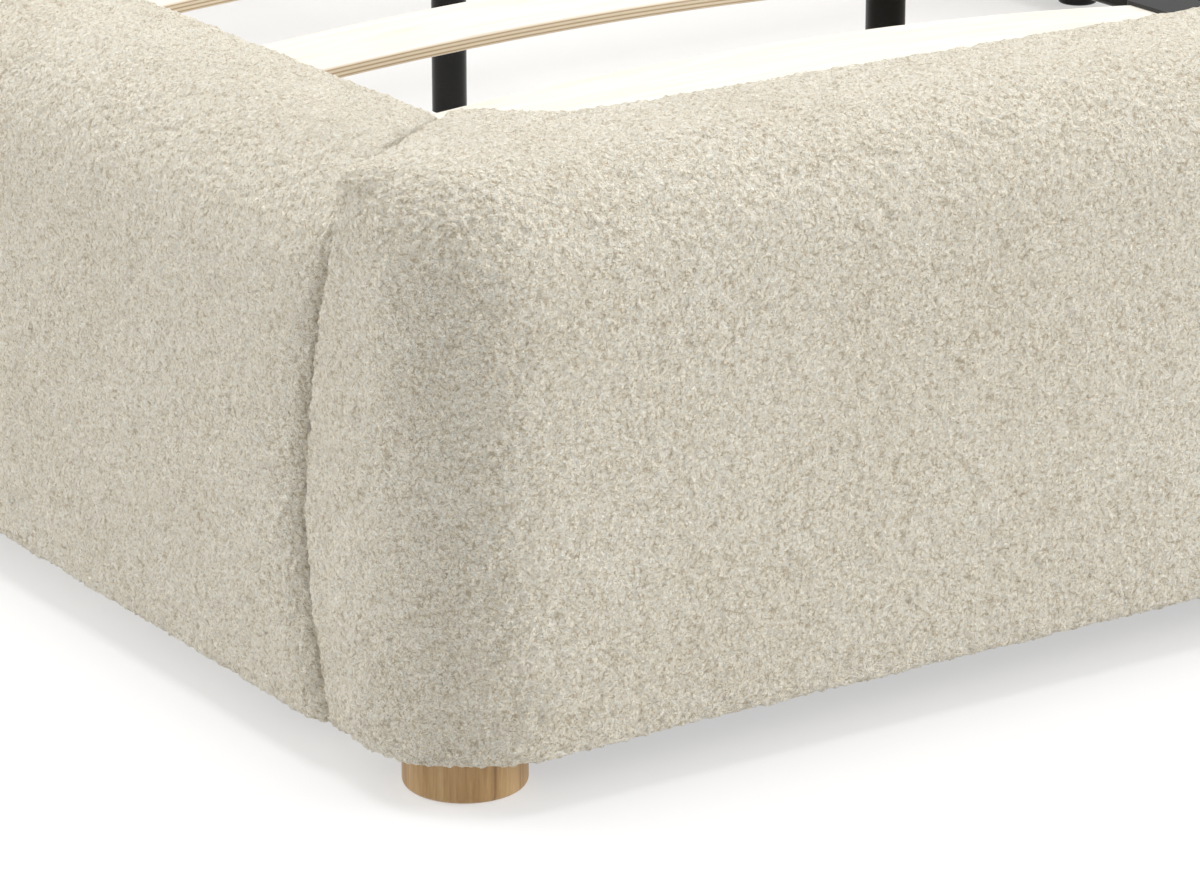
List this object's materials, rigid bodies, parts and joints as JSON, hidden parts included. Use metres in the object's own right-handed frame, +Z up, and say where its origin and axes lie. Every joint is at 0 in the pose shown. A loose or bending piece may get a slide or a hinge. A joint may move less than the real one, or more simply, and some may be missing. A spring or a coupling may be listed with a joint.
{
  "type": "upholstered platform bed",
  "caption": "Low platform bed with thick rounded padded boards in curly cloth, bowed half slats on a centre beam, round wood feet and levelling centre legs.",
  "frame": {"origin": "on the floor, under the middle of the bed", "axes": "+X to the right seen from the foot end, +Y from the footboard to the headboard, +Z up"},
  "size_m": [1.792, 2.344, 1.06],
  "materials": {
    "boucle": "curly looped pile, matt",
    "foam": "open-cell foam",
    "dust_cloth": "non-woven, matt",
    "plywood": "unfinished plywood",
    "pine": "planed softwood",
    "slat_birch": "pale laminated birch",
    "foot_wood": "natural, satin",
    "black_steel": "gloss black",
    "black_plastic": "moulded",
    "zinc_steel": "zinc plated"
  },
  "bodies": {
    "bed": {"beam_screws": "zinc_steel", "beam_stirrups": "black_steel", "centre_beam": "black_steel", "corner_bolts": "zinc_steel", "corner_brackets": "black_steel", "foot_bolts": "zinc_steel", "footboard_battens": "pine", "footboard_cover": "boucle", "footboard_dust_cover": "dust_cloth", "footboard_foam": "foam", "footboard_panels": "plywood", "front_centre_leg": "black_steel", "front_left_foot": "foot_wood", "front_right_foot": "foot_wood", "headboard_battens": "pine", "headboard_cover": "boucle", "headboard_dust_cover": "dust_cloth", "headboard_foam": "foam", "headboard_panels": "plywood", "ledger_screws": "zinc_steel", "left_rail_battens": "pine", "left_rail_cover": "boucle", "left_rail_dust_cover": "dust_cloth", "left_rail_foam": "foam", "left_rail_panels": "plywood", "left_slat_ledger": "pine", "leg_inserts": "black_plastic", "rail_feet": "black_steel", "rear_centre_leg": "black_steel", "rear_left_foot": "foot_wood", "rear_right_foot": "foot_wood", "right_rail_battens": "pine", "right_rail_cover": "boucle", "right_rail_dust_cover": "dust_cloth", "right_rail_foam": "foam", "right_rail_panels": "plywood", "right_slat_ledger": "pine", "slat_centre_caps": "black_plastic", "slat_left_1": "slat_birch", "slat_left_2": "slat_birch", "slat_left_3": "slat_birch", "slat_left_4": "slat_birch", "slat_left_5": "slat_birch", "slat_left_6": "slat_birch", "slat_left_7": "slat_birch", "slat_left_8": "slat_birch", "slat_rail_caps": "black_plastic", "slat_right_1": "slat_birch", "slat_right_2": "slat_birch", "slat_right_3": "slat_birch", "slat_right_4": "slat_birch", "slat_right_5": "slat_birch", "slat_right_6": "slat_birch", "slat_right_7": "slat_birch", "slat_right_8": "slat_birch"},
    "front_pad": {"front_glide_pad": "black_plastic"},
    "front_stem": {"front_glide_stem": "zinc_steel"},
    "rear_pad": {"rear_glide_pad": "black_plastic"},
    "rear_stem": {"rear_glide_stem": "zinc_steel"}
  },
  "joints": [
    {"name": "front_pad_travel", "type": "slide", "parent": "bed", "child": "front_pad", "axis": [0, 0, 1], "range_m": [-0.01, 0.01]},
    {"name": "front_stem_turn", "type": "hinge", "parent": "front_pad", "child": "front_stem", "pos_m": [0, -0.426, 0.02], "axis": [0, 0, 1], "range_deg": [-2880, 2880]},
    {"name": "rear_pad_travel", "type": "slide", "parent": "bed", "child": "rear_pad", "axis": [0, 0, 1], "range_m": [-0.01, 0.01]},
    {"name": "rear_stem_turn", "type": "hinge", "parent": "rear_pad", "child": "rear_stem", "pos_m": [0, 0.235, 0.02], "axis": [0, 0, 1], "range_deg": [-2880, 2880]}
  ],
  "couplings": [
    {"joint": "front_pad_travel", "follows": "front_stem_turn", "m_per_rad": 0.00019894},
    {"joint": "rear_pad_travel", "follows": "rear_stem_turn", "m_per_rad": 0.00019894}
  ]
}
